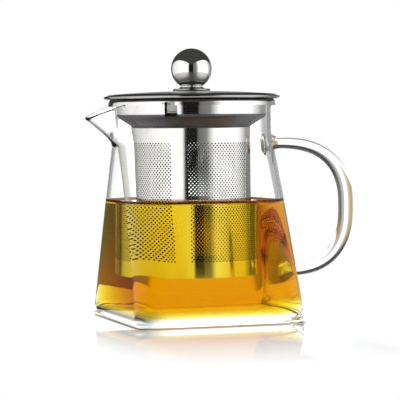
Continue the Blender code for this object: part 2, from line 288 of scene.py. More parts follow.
def brewed(name, colour, density, gloss):
    """Clear tea: water that takes out the blue first and then the green along the way through it."""
    material = bpy.data.materials.new(name)
    material.use_nodes = True
    tree = material.node_tree
    shader = tree.nodes["Principled BSDF"]
    shader.inputs["Base Color"].default_value = linear("#ffffff")
    shader.inputs["Roughness"].default_value = 0.0
    shader.inputs["IOR"].default_value = 1.333
    shader.inputs["Specular Tint"].default_value = linear(gloss)
    shader.inputs["Transmission Weight"].default_value = 1.0
    depth = add(tree, "ShaderNodeVolumeAbsorption", {"Color": linear(colour), "Density": density})
    tree.links.new(depth.outputs["Volume"], tree.nodes["Material Output"].inputs["Volume"])
    return material


tea_body.data.materials.append(brewed("brewed_tea", "#f8ed00", 130.0, "#000000"))
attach(tea_body, "pot")


# Tea film: a thin, dark sheet on the tea's top, a painted shade for the dark line along the tea's
# surface; its top also gives that surface its reflections. Tea wets the glass, so the sheet's edge climbs
# the wall by a little under a millimetre.
FILM_THICKNESS = 0.0004
FILM_OVERLAP = 0.0002
MENISCUS_RISE = 0.0008
MENISCUS_REACH = 0.0016
meniscus_steps = 16
film_low = TEA_LEVEL - FILM_OVERLAP
film_flat = film_low + FILM_THICKNESS
film_inner = GLASS_WALL + MENISCUS_REACH
levels = [(film_low, film_inner), (film_low, tea_inset), (film_flat + MENISCUS_RISE, tea_inset)]
for i in range(1, meniscus_steps + 1):
    share = i / meniscus_steps
    levels.append((film_flat + MENISCUS_RISE * (1 - share) ** 3, GLASS_WALL + MENISCUS_REACH * share))
tea_film = lofted("tea_film", levels)
tea_film.data.materials.append(brewed("tea_film", "#e7d495", 2400.0, "#ffffff"))
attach(tea_film, "pot")


# Infuser collar: one drawn piece of stainless sheet. Its hood hangs over the glass rim, the collar
# fills the neck, and a cone under it narrows to the screen. A window is cut in its side.
SHEET = 0.0006
HOOD_R = 0.0030
HOOD_CENTRE = (0.0380, 0.1052)
HOOD_EDGE = -18
HOOD_CREST = 96
COLLAR_R = 0.0358
COLLAR_TOP = 0.1077
COLLAR_BOTTOM = 0.0993
CONE_BOTTOM = 0.0943
LAP_R = 0.0277
LAP_BOTTOM = 0.0913
SHEET_BEND_R = 0.0012
WINDOW_WIDTH = 0.0062
WINDOW_LOW = 0.0990
WINDOW_HIGH = 0.1060
WINDOW_CUT = 0.0120
WINDOW_AZIMUTH = math.radians(-30.5)
TURN_SIDES = 128
SMOOTH_ANGLE = math.radians(35)
SAME_POINT = 0.000001


def rounded(outline, radius, steps=6):
    """An outline (r, z) with its inner corners rounded, over less than half of each side."""
    points = [outline[0]]
    for before, corner, after in zip(outline, outline[1:], outline[2:]):
        before, corner, after = Vector(before), Vector(corner), Vector(after)
        reach = min(radius, (before - corner).length * 0.45, (after - corner).length * 0.45)
        first = corner + (before - corner).normalized() * reach
        last = corner + (after - corner).normalized() * reach
        for i in range(steps + 1):
            t = i / steps
            points.append(tuple(first * (1 - t) ** 2 + corner * (2 * t * (1 - t)) + last * t**2))
    points.append(outline[-1])
    return points


def turned(name, outline, sides=TURN_SIDES, sheet=0.0):
    """Turns an outline (r, z): a circle whose edge is extruded and resized from ring to ring."""
    bpy.ops.object.select_all(action="DESELECT")
    start_r, start_z = outline[0]
    bpy.ops.mesh.primitive_circle_add(vertices=sides, radius=start_r, location=(0, 0, start_z))
    piece = bpy.context.object
    piece.name = name
    piece.data.name = name
    bpy.ops.object.transform_apply(location=True, rotation=True, scale=True)
    bpy.ops.object.mode_set(mode="EDIT")
    bpy.ops.mesh.select_all(action="SELECT")
    for (r, z), (next_r, next_z) in zip(outline, outline[1:]):
        bpy.ops.mesh.extrude_edges_move(TRANSFORM_OT_translate={"value": (0, 0, next_z - z)})
        if next_r > 0:
            grow = next_r / r
            bpy.ops.transform.resize(value=(grow, grow, 1), center_override=(0, 0, next_z))
        else:
            bpy.ops.mesh.merge(type="CENTER")
    bpy.ops.mesh.select_all(action="SELECT")
    bpy.ops.mesh.remove_doubles(threshold=SAME_POINT)
    bpy.ops.mesh.normals_make_consistent(inside=False)
    bpy.ops.object.mode_set(mode="OBJECT")
    if sheet:
        wall = piece.modifiers.new("sheet", "SOLIDIFY")
        wall.thickness = sheet
        wall.offset = -1
        wall.use_even_offset = True
        bpy.ops.object.modifier_apply(modifier=wall.name)
    return piece


def smooth(piece):
    """Shades a piece smooth, with its real edges left sharp."""
    bpy.ops.object.select_all(action="DESELECT")
    piece.select_set(True)
    bpy.ops.object.shade_smooth_by_angle(angle=SMOOTH_ANGLE)


hood = arc(HOOD_CENTRE, HOOD_R, HOOD_EDGE, HOOD_CREST, 24)
shoulder = (COLLAR_R, COLLAR_TOP)
step = (COLLAR_R, COLLAR_BOTTOM)
waist = (LAP_R, CONE_BOTTOM)
lap_end = (LAP_R, LAP_BOTTOM)
outline = hood[:-1] + rounded([hood[-1], shoulder, step, waist, lap_end], SHEET_BEND_R)
collar = turned("infuser_collar_drawn", outline, sheet=SHEET)
bpy.ops.object.select_all(action="DESELECT")
bpy.ops.mesh.primitive_cube_add(size=1)
window = bpy.context.object
window.scale = (WINDOW_WIDTH, WINDOW_CUT, WINDOW_HIGH - WINDOW_LOW)
window.location = (
    COLLAR_R * math.sin(WINDOW_AZIMUTH),
    -COLLAR_R * math.cos(WINDOW_AZIMUTH),
    (WINDOW_LOW + WINDOW_HIGH) / 2,
)
window.rotation_euler.z = WINDOW_AZIMUTH
bpy.context.view_layer.objects.active = collar
cut = collar.modifiers.new("window", "BOOLEAN")
cut.operation = "DIFFERENCE"
cut.solver = "EXACT"
cut.object = window
bpy.ops.object.modifier_apply(modifier=cut.name)
bpy.data.objects.remove(window, do_unlink=True)
smooth(collar)


# Stainless steel: lightly brushed round the axis. The brushing is far finer than a pixel, so its lines
# are drawn 0.3 mm apart, just enough to soften the reflections.
BRUSH_SPACING = 0.0003
BRUSH_STRETCH = 60
BRUSH_DEPTH = 0.0001
MOTTLE_SIZE = 0.006
MOTTLE = 0.25
BAND_BLUR = 0.0002


def steel(name, colour, roughness, brushing, band=None, dull="#606367", dullness=0.4):
    """Stainless steel with a soft mottling of its gloss and lines of brushing round the axis. Where it is
    polished only in a band of heights, the rest keeps a duller face and its own colour; on the collar
    that colour is a painted shade."""
    material = bpy.data.materials.new(name)
    material.use_nodes = True
    tree = material.node_tree
    shader = tree.nodes["Principled BSDF"]
    shader.inputs["Metallic"].default_value = 1.0
    place = add(tree, "ShaderNodeTexCoord")
    spread = (BRUSH_STRETCH, BRUSH_STRETCH, 1 / BRUSH_SPACING)
    stretch = add(tree, "ShaderNodeMapping", {"Vector": place.outputs["Object"], "Scale": spread})
    noise = {"Vector": stretch.outputs["Vector"], "Scale": 1.0, "Detail": 2.0}
    lines = add(tree, "ShaderNodeTexNoise", noise)
    relief = {"Height": lines.outputs["Fac"], "Strength": brushing, "Distance": BRUSH_DEPTH}
    bump = add(tree, "ShaderNodeBump", relief)
    tree.links.new(bump.outputs["Normal"], shader.inputs["Normal"])
    noise = {"Vector": place.outputs["Object"], "Scale": 1 / MOTTLE_SIZE}
    mottle = add(tree, "ShaderNodeTexNoise", noise)
    ends = {"To Min": roughness * (1 - MOTTLE), "To Max": roughness * (1 + MOTTLE)}
    gloss = add(tree, "ShaderNodeMapRange", {"Value": mottle.outputs["Fac"], **ends})
    if band is None:
        shader.inputs["Base Color"].default_value = linear(colour)
        tree.links.new(gloss.outputs["Result"], shader.inputs["Roughness"])
        return material
    axes = add(tree, "ShaderNodeSeparateXYZ", {"Vector": place.outputs["Object"]})
    ends = {"From Min": band[0] - BAND_BLUR, "From Max": band[0] + BAND_BLUR}
    over = add(tree, "ShaderNodeMapRange", {"Value": axes.outputs["Z"], **ends})
    ends = {"From Min": band[1] + BAND_BLUR, "From Max": band[1] - BAND_BLUR}
    under = add(tree, "ShaderNodeMapRange", {"Value": axes.outputs["Z"], **ends})
    pair = {0: over.outputs["Result"], 1: under.outputs["Result"]}
    polished = add(tree, "ShaderNodeMath", pair, operation="MULTIPLY")
    # Off the band the colour changes as well as the gloss: on the collar that darker colour is painted
    # shade.
    tones = {0: polished.outputs["Value"], 6: linear(dull), 7: linear(colour)}
    tone = add(tree, "ShaderNodeMix", tones, data_type="RGBA")
    tree.links.new(tone.outputs[2], shader.inputs["Base Color"])
    ends = {"To Min": dullness, "To Max": gloss.outputs["Result"]}
    finish = add(tree, "ShaderNodeMapRange", {"Value": polished.outputs["Value"], **ends})
    tree.links.new(finish.outputs["Result"], shader.inputs["Roughness"])
    return material


# Between its bends the collar is polished, and shows the studio almost as a mirror. The crest of its hood
# and its cone are duller and painted a dark grey: painted shade, for the shade under the lid and round
# the downward-facing cone.
COLLAR_POLISH_LOW = 0.10014
COLLAR_POLISH_HIGH = 0.1065
collar_band = (COLLAR_POLISH_LOW, COLLAR_POLISH_HIGH)
collar_steel = steel("drawn_stainless_steel", "#f4f3f1", 0.07, 0.03, collar_band)
collar.data.materials.append(collar_steel)
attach(collar, "infuser")
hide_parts("infuser_collar")


# Infuser screen: a strip of thin stainless sheet with staggered punched holes, rolled to a tube and
# welded along a plain seam. It has thousands of holes, so it is made as an upper and a lower half.
SCREEN_R = 0.0286
SCREEN_TOP = 0.0934
SCREEN_BOTTOM = 0.0220
FIELD_TOP = 0.0866
FIELD_BOTTOM = 0.0295
HOLE_R = 0.00046
HOLE_COLUMNS = 100
HOLE_ROWS = 58
SEAM_WIDTH = 0.0072
SEAM_AZIMUTH = math.radians(-27.5)
SEAM_CELLS = 12
BAND_CELLS = 6
HOLE_EDGE_ANGLE = math.radians(45)


def screen_half(name, first_row, last_row, band_end):
    """Part of the rolled sheet: rows of six-sided holes, and a plain band beyond the last of them."""
    half_columns = 2 * HOLE_COLUMNS
    around = half_columns + SEAM_CELLS
    field_angle = 2 * math.pi - SEAM_WIDTH / SCREEN_R
    start = SEAM_AZIMUTH - math.pi / 2 + SEAM_WIDTH / SCREEN_R / 2
    row_height = (FIELD_TOP - FIELD_BOTTOM) / HOLE_ROWS
    angles = [start + field_angle * i / half_columns for i in range(half_columns + 1)]
    for i in range(1, SEAM_CELLS):
        angles.append(start + field_angle + (2 * math.pi - field_angle) * i / SEAM_CELLS)
    heights = [FIELD_BOTTOM + row_height * row for row in range(first_row, last_row + 1)]
    band_start = heights[-1] if band_end > heights[-1] else heights[0]
    band = [band_start + (band_end - band_start) * i / BAND_CELLS for i in range(1, BAND_CELLS + 1)]
    if band_end > heights[-1]:
        levels = heights + band
        first_level = 0
    else:
        levels = band[::-1] + heights
        first_level = BAND_CELLS
    points = []
    for z in levels:
        for angle in angles:
            points.append((SCREEN_R * math.cos(angle), SCREEN_R * math.sin(angle), z))
    faces = []
    for level in range(len(levels) - 1):
        row = level - first_level + first_row
        holed = first_level <= level < first_level + last_row - first_row
        column = 0
        while column < around:
            low = level * around
            high = low + around
            after = (column + 1) % around
            last = (column + 2) % around
            if holed and column % 2 == row % 2 and column + 2 <= half_columns:
                border = (low + column, low + after, low + last, high + last, high + after, high + column)
                centre_angle = angles[after]
                centre_z = (levels[level] + levels[level + 1]) / 2
                hole = len(points)
                for turn in (210, 270, 330, 30, 90, 150):
                    angle = centre_angle + HOLE_R * math.cos(math.radians(turn)) / SCREEN_R
                    z = centre_z + HOLE_R * math.sin(math.radians(turn))
                    points.append((SCREEN_R * math.cos(angle), SCREEN_R * math.sin(angle), z))
                for k in range(6):
                    n = (k + 1) % 6
                    faces.append((border[k], border[n], hole + n, hole + k))
                column += 2
            else:
                faces.append((low + column, low + after, high + after, high + column))
                column += 1
    mesh = bpy.data.meshes.new(name)
    mesh.from_pydata(points, [], faces)
    mesh.shade_smooth()
    piece = bpy.data.objects.new(name, mesh)
    bpy.context.scene.collection.objects.link(piece)
    bpy.context.view_layer.objects.active = piece
    wall = piece.modifiers.new("sheet", "SOLIDIFY")
    wall.thickness = SHEET
    wall.offset = -1
    wall.material_offset = 1
    wall.material_offset_rim = 1
    mesh.materials.append(satin)
    mesh.materials.append(pickled)
    bpy.ops.object.modifier_apply(modifier=wall.name)
    mesh.set_sharp_from_angle(angle=HOLE_EDGE_ANGLE)
    return piece


# Outside, the sheet is satin, with bright but soft reflections. Inside and on the walls of its holes it
# is painted almost black: painted shade, for the shade within the basket.
satin = steel("satin_stainless_steel", "#f2f1ee", 0.10, 0.06)
pickled = steel("pickled_stainless_steel", "#232322", 0.30, 0.10)
for name, first_row, last_row, band_end in (
    ("infuser_screen_upper", HOLE_ROWS // 2, HOLE_ROWS, SCREEN_TOP),
    ("infuser_screen_lower", 0, HOLE_ROWS // 2, SCREEN_BOTTOM),
):
    screen = screen_half(name, first_row, last_row, band_end)
    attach(screen, "infuser")
    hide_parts("infuser_screen")


# Infuser base: a pressed disc of the same sheet, welded into the foot of the screen by its lip. A
# shallow ring is pressed into it to keep it flat.
BASE_DISC_R = 0.0277
BASE_DISC_LIP = 0.0045
RING_OUTER_R = 0.0215
RING_INNER_R = 0.0190
RING_DEPTH = 0.0008
LAST_RING_R = 0.0010
disc_low = SCREEN_BOTTOM
disc_high = SCREEN_BOTTOM + RING_DEPTH
outline = [
    (BASE_DISC_R, disc_low + BASE_DISC_LIP),
    (BASE_DISC_R, disc_low),
    (RING_OUTER_R, disc_low),
    (RING_INNER_R, disc_high),
    (LAST_RING_R, disc_high),
]
outline = rounded(outline, SHEET_BEND_R) + [(0, disc_high)]
base_disc = turned("infuser_base_pressed", outline, sheet=SHEET)
smooth(base_disc)
base_disc.data.materials.append(satin)
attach(base_disc, "infuser")
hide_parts("infuser_base")


# Lid disc: stainless sheet, spun to a low dome with a small step near its edge, which is rolled over.
# A hole in its middle lets the knob's screw through.
LID_R = 0.0432
LID_EDGE_R = 0.00075
LID_RISE = 0.0018
LID_STEP = 0.0006
LID_STEP_WIDTH = 0.0011
LID_RIM_TOP = 0.1098
LID_HOLE_R = 0.0023
LID_EDGE_START = 80
LID_POLISH_TOP = LID_RIM_TOP + 0.0001


def dome_height(r):
    """Height of the lid's top face above its rim."""
    return LID_RISE * (1 - (r / LID_R) ** 2)


dome_end = LID_R - LID_EDGE_R - LID_STEP_WIDTH
dome_steps = 24
outline = []
for i in range(dome_steps + 1):
    r = LID_HOLE_R + (dome_end - LID_HOLE_R) * i / dome_steps
    outline.append((r, LID_RIM_TOP + dome_height(r)))
edge_middle = outline[-1][1] - LID_STEP - LID_EDGE_R
outline += arc((LID_R - LID_EDGE_R, edge_middle), LID_EDGE_R, LID_EDGE_START, -90, 14)
lid_disc = turned("lid_disc_spun", outline, sheet=SHEET)
smooth(lid_disc)
# The dome keeps the even satin of the spinning, so it shows a soft grey. The edge is polished.
lid_band = (0.0, LID_POLISH_TOP)
lid_steel = steel("spun_stainless_steel", "#b4b3b1", 0.06, 0.03, lid_band, "#cacac8", 0.33)
lid_disc.data.materials.append(lid_steel)
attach(lid_disc, "lid")
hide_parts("lid_disc")


# Lid plug ring: a rolled strip of stainless sheet with a hem at its foot, welded under the lid by a
# turned-in seam. It centres the lid in the infuser's collar.
PLUG_R = 0.0347
PLUG_BOTTOM = 0.1016
PLUG_SEAM = 0.0030
PLUG_GAP = 0.0003
HEM_R = 0.0005
HEM_STEP = 0.0003
HEM_START = 60
plug_top = LID_RIM_TOP + dome_height(PLUG_R) - SHEET - PLUG_GAP
seam = [(PLUG_R - PLUG_SEAM, plug_top), (PLUG_R, plug_top), (PLUG_R, PLUG_BOTTOM)]
outline = rounded(seam, SHEET_BEND_R)
outline += arc((PLUG_R - HEM_R + HEM_STEP, PLUG_BOTTOM - HEM_R), HEM_R, HEM_START, -90, 8)
plug_ring = turned("lid_plug_ring_rolled", outline, sheet=SHEET)
smooth(plug_ring)
# A darker grey than the other steel: painted shade, for the ring in the shade under the lid. Its gloss is
# that of steel as rolled and not polished after.
plug_ring.data.materials.append(steel("rolled_stainless_steel", "#9b9a98", 0.15, 0.05))
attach(plug_ring, "lid")
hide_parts("lid_plug_ring")


# Knob neck: turned from stainless bar. Its round-edged foot stands on the lid, and its waist carries
# the ball. The screw goes through its bore.
LID_CROWN = LID_RIM_TOP + dome_height(LID_HOLE_R)
FOOT_GAP = 0.0001
FOOT_R = 0.0092
FOOT_THICKNESS = 0.0011
WAIST_R = 0.0055
WAIST_HEIGHT = 0.0022
KNOB_SIDES = 96
foot_bottom = LID_CROWN + FOOT_GAP
foot_top = foot_bottom + FOOT_THICKNESS
foot_edge_r = FOOT_THICKNESS / 2
waist_top = foot_bottom + WAIST_HEIGHT
waist_steps = 12
hollow = FOOT_R - foot_edge_r - WAIST_R
outline = [(LID_HOLE_R, waist_top), (WAIST_R, waist_top)]
for i in range(1, waist_steps):
    angle = math.pi / 2 * i / waist_steps
    r = WAIST_R + hollow * (1 - math.cos(angle))
    outline.append((r, waist_top - (waist_top - foot_top) * math.sin(angle)))
outline += arc((FOOT_R - foot_edge_r, foot_bottom + foot_edge_r), foot_edge_r, 90, -90, 10)
outline += [(LID_HOLE_R, foot_bottom), (LID_HOLE_R, waist_top)]
neck = turned("knob_neck_turned", outline, sides=KNOB_SIDES)
smooth(neck)
# Finely turned, so it is glossy. Its colour is darker than the ball's: painted shade, for the neck in the
# shade under the ball.
neck.data.materials.append(steel("turned_stainless_steel", "#b4b3b1", 0.06, 0.03))
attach(neck, "lid")
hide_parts("knob_neck")


# Knob ball: a stainless ball with a flat where it sits on the neck. A blind hole is drilled into the
# flat for the screw.
SEAT_GAP = 0.0003
BALL_R = 0.0100
BALL_CAP_START = 89
SCREW_DEPTH = 0.0075
ball_seat = waist_top + SEAT_GAP
ball_middle = ball_seat + math.sqrt(BALL_R**2 - WAIST_R**2)
seat_angle = math.degrees(math.asin(WAIST_R / BALL_R)) - 90
bore_top = ball_seat + SCREW_DEPTH
outline = arc((0, ball_middle), BALL_R, BALL_CAP_START, seat_angle, 48)
outline += [(LID_HOLE_R, ball_seat), (LID_HOLE_R, bore_top), (0, bore_top)]
ball = turned("knob_ball_polished", outline, sides=KNOB_SIDES)
bpy.ops.object.mode_set(mode="EDIT")
bpy.ops.mesh.select_all(action="DESELECT")
bpy.ops.mesh.select_non_manifold()
bpy.ops.mesh.edge_face_add()
bpy.ops.mesh.poke()
bpy.ops.object.mode_set(mode="OBJECT")
smooth(ball)
# Polished almost to a mirror, so the studio shows in it sharply.
bright = steel("polished_stainless_steel", "#f6f5f3", 0.05, 0.03)
ball.data.materials.append(bright)
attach(ball, "lid")
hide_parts("knob_ball")


# Knob washer: stamped from stainless sheet, with its outer edges broken. It spreads the pull of the
# screw under the lid.
WASHER_R = 0.0060
WASHER_THICKNESS = 0.0008
WASHER_EDGE = 0.00015
FIXING_SIDES = 64
washer_top = LID_CROWN - SHEET - SEAT_GAP
washer_bottom = washer_top - WASHER_THICKNESS
outline = [
    (LID_HOLE_R, washer_top),
    (WASHER_R - WASHER_EDGE, washer_top),
    (WASHER_R, washer_top - WASHER_EDGE),
    (WASHER_R, washer_bottom + WASHER_EDGE),
    (WASHER_R - WASHER_EDGE, washer_bottom),
    (LID_HOLE_R, washer_bottom),
    (LID_HOLE_R, washer_top),
]
washer = turned("knob_washer_stamped", outline, sides=FIXING_SIDES)
smooth(washer)
washer.data.materials.append(bright)
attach(washer, "lid")
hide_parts("knob_washer")


# Knob screw: a stainless screw with a slotted, chamfered head. It goes up through the washer, the lid
# and the neck into the ball, and holds them together.
SCREW_R = 0.0020
SCREW_TIP_RING_R = 0.0004
SCREW_HEAD_R = 0.0038
SCREW_HEAD_HEIGHT = 0.0020
SCREW_FACE_R = 0.0027
SLOT_WIDTH = 0.0009
SLOT_DEPTH = 0.0010
screw_tip = bore_top - SEAT_GAP
head_top = washer_bottom - SEAT_GAP
head_bottom = head_top - SCREW_HEAD_HEIGHT
outline = [
    (SCREW_TIP_RING_R, screw_tip),
    (SCREW_R, screw_tip),
    (SCREW_R, head_top),
    (SCREW_HEAD_R, head_top),
    (SCREW_HEAD_R, head_top - SCREW_HEAD_HEIGHT / 2),
    (SCREW_FACE_R, head_bottom),
    (0, head_bottom),
]
screw = turned("knob_screw_slotted", outline, sides=FIXING_SIDES)
bpy.ops.object.mode_set(mode="EDIT")
bpy.ops.mesh.select_all(action="DESELECT")
bpy.ops.mesh.select_non_manifold()
bpy.ops.mesh.edge_face_add()
bpy.ops.object.mode_set(mode="OBJECT")
bpy.ops.object.select_all(action="DESELECT")
bpy.ops.mesh.primitive_cube_add(size=1)
slot_cutter = bpy.context.object
slot_cutter.scale = (3 * SCREW_HEAD_R, SLOT_WIDTH, 2 * SLOT_DEPTH)
slot_cutter.location = (0, 0, head_bottom)
bpy.context.view_layer.objects.active = screw
cut = screw.modifiers.new("driver slot", "BOOLEAN")
cut.operation = "DIFFERENCE"
cut.solver = "EXACT"
cut.object = slot_cutter
bpy.ops.object.modifier_apply(modifier=cut.name)
bpy.data.objects.remove(slot_cutter, do_unlink=True)
smooth(screw)
screw.data.materials.append(bright)
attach(screw, "lid")
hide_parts("knob_screw")


# Floor: a small sheet of white acrylic that glows as if lit from below, glossy on top. Its glow is
# painted by place round the pot, with a painted shadow under the pot's edge, and in front of the pot it
# shows a mirror image that fades towards the camera.
FLOOR_R = 0.155
FLOOR_MIDDLE = (-0.0129, -0.0483, 0)
MIRROR_START = 0.075
MIRROR_END = 0.20
MIRROR_LEFT = 1.8
MIRROR_RIGHT = 1.3
CORNER_CUT = 0.6 * BASE_CORNER_R
GLOW_SHARE = 0.85
GLOW_FRONT = 1.06
GLOW_BEHIND = 1.6
GLOW_UNDER = 1.7
GLOW_LEFT = 0.05
GLOW_LEFT_END = 0.85
GLOW_FULL_START = 0.45
CONTACT_SHADE = 0.30
CONTACT_INSET = 0.00182
CONTACT_CORE = 0.00104
CONTACT_REACH = 0.00182
bpy.ops.object.select_all(action="DESELECT")
bpy.ops.mesh.primitive_circle_add(vertices=128, radius=FLOOR_R, fill_type="NGON", location=FLOOR_MIDDLE)
bpy.ops.object.transform_apply(location=True)
floor = bpy.context.object
floor.name = "floor"
white_floor = bpy.data.materials.new("white_acrylic_floor")
white_floor.use_nodes = True
tree = white_floor.node_tree
tree.nodes.remove(tree.nodes["Principled BSDF"])
place = add(tree, "ShaderNodeTexCoord")
axes = add(tree, "ShaderNodeSeparateXYZ", {"Vector": place.outputs["Object"]})
half = BASE_SIDE / 2

# The mirror image shows only in front of the pot, and less with the distance from the axis.
away = add(tree, "ShaderNodeVectorMath", {0: place.outputs["Object"]}, operation="LENGTH")
ends = {"From Min": MIRROR_START, "From Max": MIRROR_END, "To Min": 1.0, "To Max": 0.0}
fade = add(tree, "ShaderNodeMapRange", {"Value": away.outputs["Value"], **ends})
ends = {"From Min": BASE_EDGE_R - half, "From Max": -half}
front = add(tree, "ShaderNodeMapRange", {"Value": axes.outputs["Y"], **ends})
ends = {"From Min": -MIRROR_LEFT * half, "From Max": -half}
left = add(tree, "ShaderNodeMapRange", {"Value": axes.outputs["X"], **ends})
ends = {"From Min": MIRROR_RIGHT * half, "From Max": half}
right = add(tree, "ShaderNodeMapRange", {"Value": axes.outputs["X"], **ends})
pair = {0: left.outputs["Result"], 1: right.outputs["Result"]}
across = add(tree, "ShaderNodeMath", pair, operation="MULTIPLY")
pair = {0: front.outputs["Result"], 1: across.outputs["Value"]}
shown = add(tree, "ShaderNodeMath", pair, operation="MULTIPLY")
pair = {0: fade.outputs["Result"], 1: shown.outputs["Value"]}
mirror = add(tree, "ShaderNodeMath", pair, operation="MULTIPLY")

# How far out a point is: half the side of the square, with its corners cut off, that it lies on.
base_middle = (BASE_SHIFT, 0.0, 0.0)
pair = {0: place.outputs["Object"], 1: base_middle}
centred = add(tree, "ShaderNodeVectorMath", pair, operation="SUBTRACT")
turned_back = add(
    tree,
    "ShaderNodeVectorRotate",
    {"Vector": centred.outputs["Vector"], "Angle": -BASE_TURN},
    rotation_type="Z_AXIS",
)
unsigned = add(tree, "ShaderNodeVectorMath", {0: turned_back.outputs["Vector"]}, operation="ABSOLUTE")
apart = add(tree, "ShaderNodeSeparateXYZ", {"Vector": unsigned.outputs["Vector"]})
pair = {0: apart.outputs["X"], 1: apart.outputs["Y"]}
side = add(tree, "ShaderNodeMath", pair, operation="MAXIMUM")
total = add(tree, "ShaderNodeMath", pair, operation="ADD")
pair = {0: total.outputs["Value"], 1: half - CORNER_CUT}
corner = add(tree, "ShaderNodeMath", pair, operation="SUBTRACT")
pair = {0: side.outputs["Value"], 1: corner.outputs["Value"]}
out = add(tree, "ShaderNodeMath", pair, operation="MAXIMUM")

# Painted light: the glow is bright under the pot except at its left, where it is painted dark, and
# brighter behind the pot than in front of it.
pair = {0: out.outputs["Value"], 1: half - BASE_EDGE_R}
under = add(tree, "ShaderNodeMath", pair, operation="LESS_THAN")
ends = {"From Min": -GLOW_LEFT_END * half, "From Max": -GLOW_FULL_START * half}
levels = {"To Min": GLOW_LEFT, "To Max": GLOW_UNDER}
glow_under = add(tree, "ShaderNodeMapRange", {"Value": axes.outputs["X"], **ends, **levels})
ends = {"From Min": 0.0, "From Max": half, "To Min": GLOW_FRONT, "To Max": GLOW_BEHIND}
glow_around = add(tree, "ShaderNodeMapRange", {"Value": axes.outputs["Y"], **ends})
levels = {"To Min": glow_around.outputs["Result"], "To Max": glow_under.outputs["Result"]}
power = add(tree, "ShaderNodeMapRange", {"Value": under.outputs["Value"], **levels})

# Painted shadow: a narrow dark line all round, just inside the pot's outline.
pair = {0: out.outputs["Value"], 1: half - CONTACT_INSET}
off_line = add(tree, "ShaderNodeMath", pair, operation="SUBTRACT")
reach = add(tree, "ShaderNodeMath", {0: off_line.outputs["Value"]}, operation="ABSOLUTE")
ends = {"From Min": CONTACT_CORE, "From Max": CONTACT_REACH, "To Min": CONTACT_SHADE, "To Max": 1.0}
contact = add(tree, "ShaderNodeMapRange", {"Value": reach.outputs["Value"], **ends})
pair = {0: power.outputs["Result"], 1: contact.outputs["Result"]}
power = add(tree, "ShaderNodeMath", pair, operation="MULTIPLY")

matt = add(tree, "ShaderNodeBsdfDiffuse", {"Color": linear("#ffffff")})
glow = add(tree, "ShaderNodeEmission", {"Color": linear("#ffffff"), "Strength": power.outputs["Value"]})
finish = {"Base Color": linear("#ffffff"), "Roughness": 0.03, "IOR": 1.5}
gloss = add(tree, "ShaderNodeBsdfPrincipled", finish)
pair = {1: matt.outputs["BSDF"], 2: glow.outputs["Emission"]}
lit = add(tree, "ShaderNodeMixShader", {0: GLOW_SHARE, **pair})
pair = {1: lit.outputs["Shader"], 2: gloss.outputs["BSDF"]}
acrylic = add(tree, "ShaderNodeMixShader", {0: mirror.outputs["Value"], **pair})
tree.links.new(acrylic.outputs["Shader"], tree.nodes["Material Output"].inputs["Surface"])
floor.data.materials.append(white_floor)


# Studio: white all round for the eye and for the floor. Steel and glass see it as a studio has it: a
# tall soft box on either side, a dark gap behind the camera, a wall behind the pot with a white card
# in its middle, and a dark ceiling.
CAMERA_AZIMUTH = math.radians(-15)
BOX_AZIMUTH = math.radians(62)
BOX_TOP = 0.86
BACK_WALL_TOP = 0.28
TOP_SOFTNESS = 0.06
CEILING_LIGHT = (0.05, 0.05, 0.05, 1.0)
WHITE_LIGHT = (1.0, 1.0, 1.0, 1.0)
studio = bpy.data.worlds.new("studio")
bpy.context.scene.world = studio
studio.use_nodes = True
tree = studio.node_tree
place = add(tree, "ShaderNodeTexCoord")
facing = add(
    tree,
    "ShaderNodeMapping",
    {"Vector": place.outputs["Generated"], "Rotation": (0, 0, -CAMERA_AZIMUTH)},
)
axes = add(tree, "ShaderNodeSeparateXYZ", {"Vector": facing.outputs["Vector"]})
towards = add(tree, "ShaderNodeMath", {0: axes.outputs["Y"], 1: -1.0}, operation="MULTIPLY")
pair = {0: axes.outputs["X"], 1: towards.outputs["Value"]}
azimuth = add(tree, "ShaderNodeMath", pair, operation="ARCTAN2")
ends = {"From Min": -math.pi, "From Max": math.pi}
turn = add(tree, "ShaderNodeMapRange", {"Value": azimuth.outputs["Value"], **ends})
ray = add(tree, "ShaderNodeLightPath")


def walls(stops):
    """The studio round the horizon: (degrees to the right of the camera, grey or colour) stops."""
    ramp = add(tree, "ShaderNodeValToRGB", {"Fac": turn.outputs["Result"]})
    elements = ramp.color_ramp.elements
    while len(elements) < len(stops):
        elements.new(1.0)
    for element, (degrees, light) in zip(elements, stops):
        element.position = (degrees + 180) / 360
        element.color = (*light, 1) if isinstance(light, tuple) else (light, light, light, 1)
    return ramp


def below_top(azimuth, top):
    """One below the straight top edge of a flat wall that faces the pot from an azimuth, else zero."""
    normal = (math.sin(azimuth), -math.cos(azimuth), 0)
    pair = {0: facing.outputs["Vector"], 1: normal}
    ahead = add(tree, "ShaderNodeVectorMath", pair, operation="DOT_PRODUCT")
    edge = add(tree, "ShaderNodeMath", {0: ahead.outputs["Value"], 1: top}, operation="MULTIPLY")
    pair = {0: edge.outputs["Value"], 1: axes.outputs["Z"]}
    under = add(tree, "ShaderNodeMath", pair, operation="SUBTRACT")
    return add(tree, "ShaderNodeMapRange", {"Value": under.outputs["Value"], "From Max": TOP_SOFTNESS})


# Steel sees both soft boxes, the gap between them and the grey wall. A dark flag at the left of that
# wall shows only in steel that is not seen through glass.
steel_walls = walls(
    [
        (-180, 0.36),
        (-166, 0.36),
        (-160, 0.42),
        (-142, 0.50),
        (-134, 0.70),
        (-105, 0.95),
        (-40, 1.25),
        (-18, 1.1),
        (-13.5, 0.008),
        (9.5, 0.008),
        (11.5, 0.16),
        (28, 0.24),
        (44, 1.25),
        (98, 1.25),
        (130, 0.30),
        (180, 0.36),
    ]
)
left_flag = walls([(-180, 1.0), (-164, 1.0), (-160, 0.1), (-140, 0.1), (-136, 1.0), (180, 1.0)])
pair = {0: ray.outputs["Transmission Depth"], 1: 0.5}
bare = add(tree, "ShaderNodeMath", pair, operation="LESS_THAN")
lights = {0: bare.outputs["Value"], 6: steel_walls.outputs["Color"], 7: left_flag.outputs["Color"]}
for_steel = add(tree, "ShaderNodeMix", lights, data_type="RGBA", blend_type="MULTIPLY")

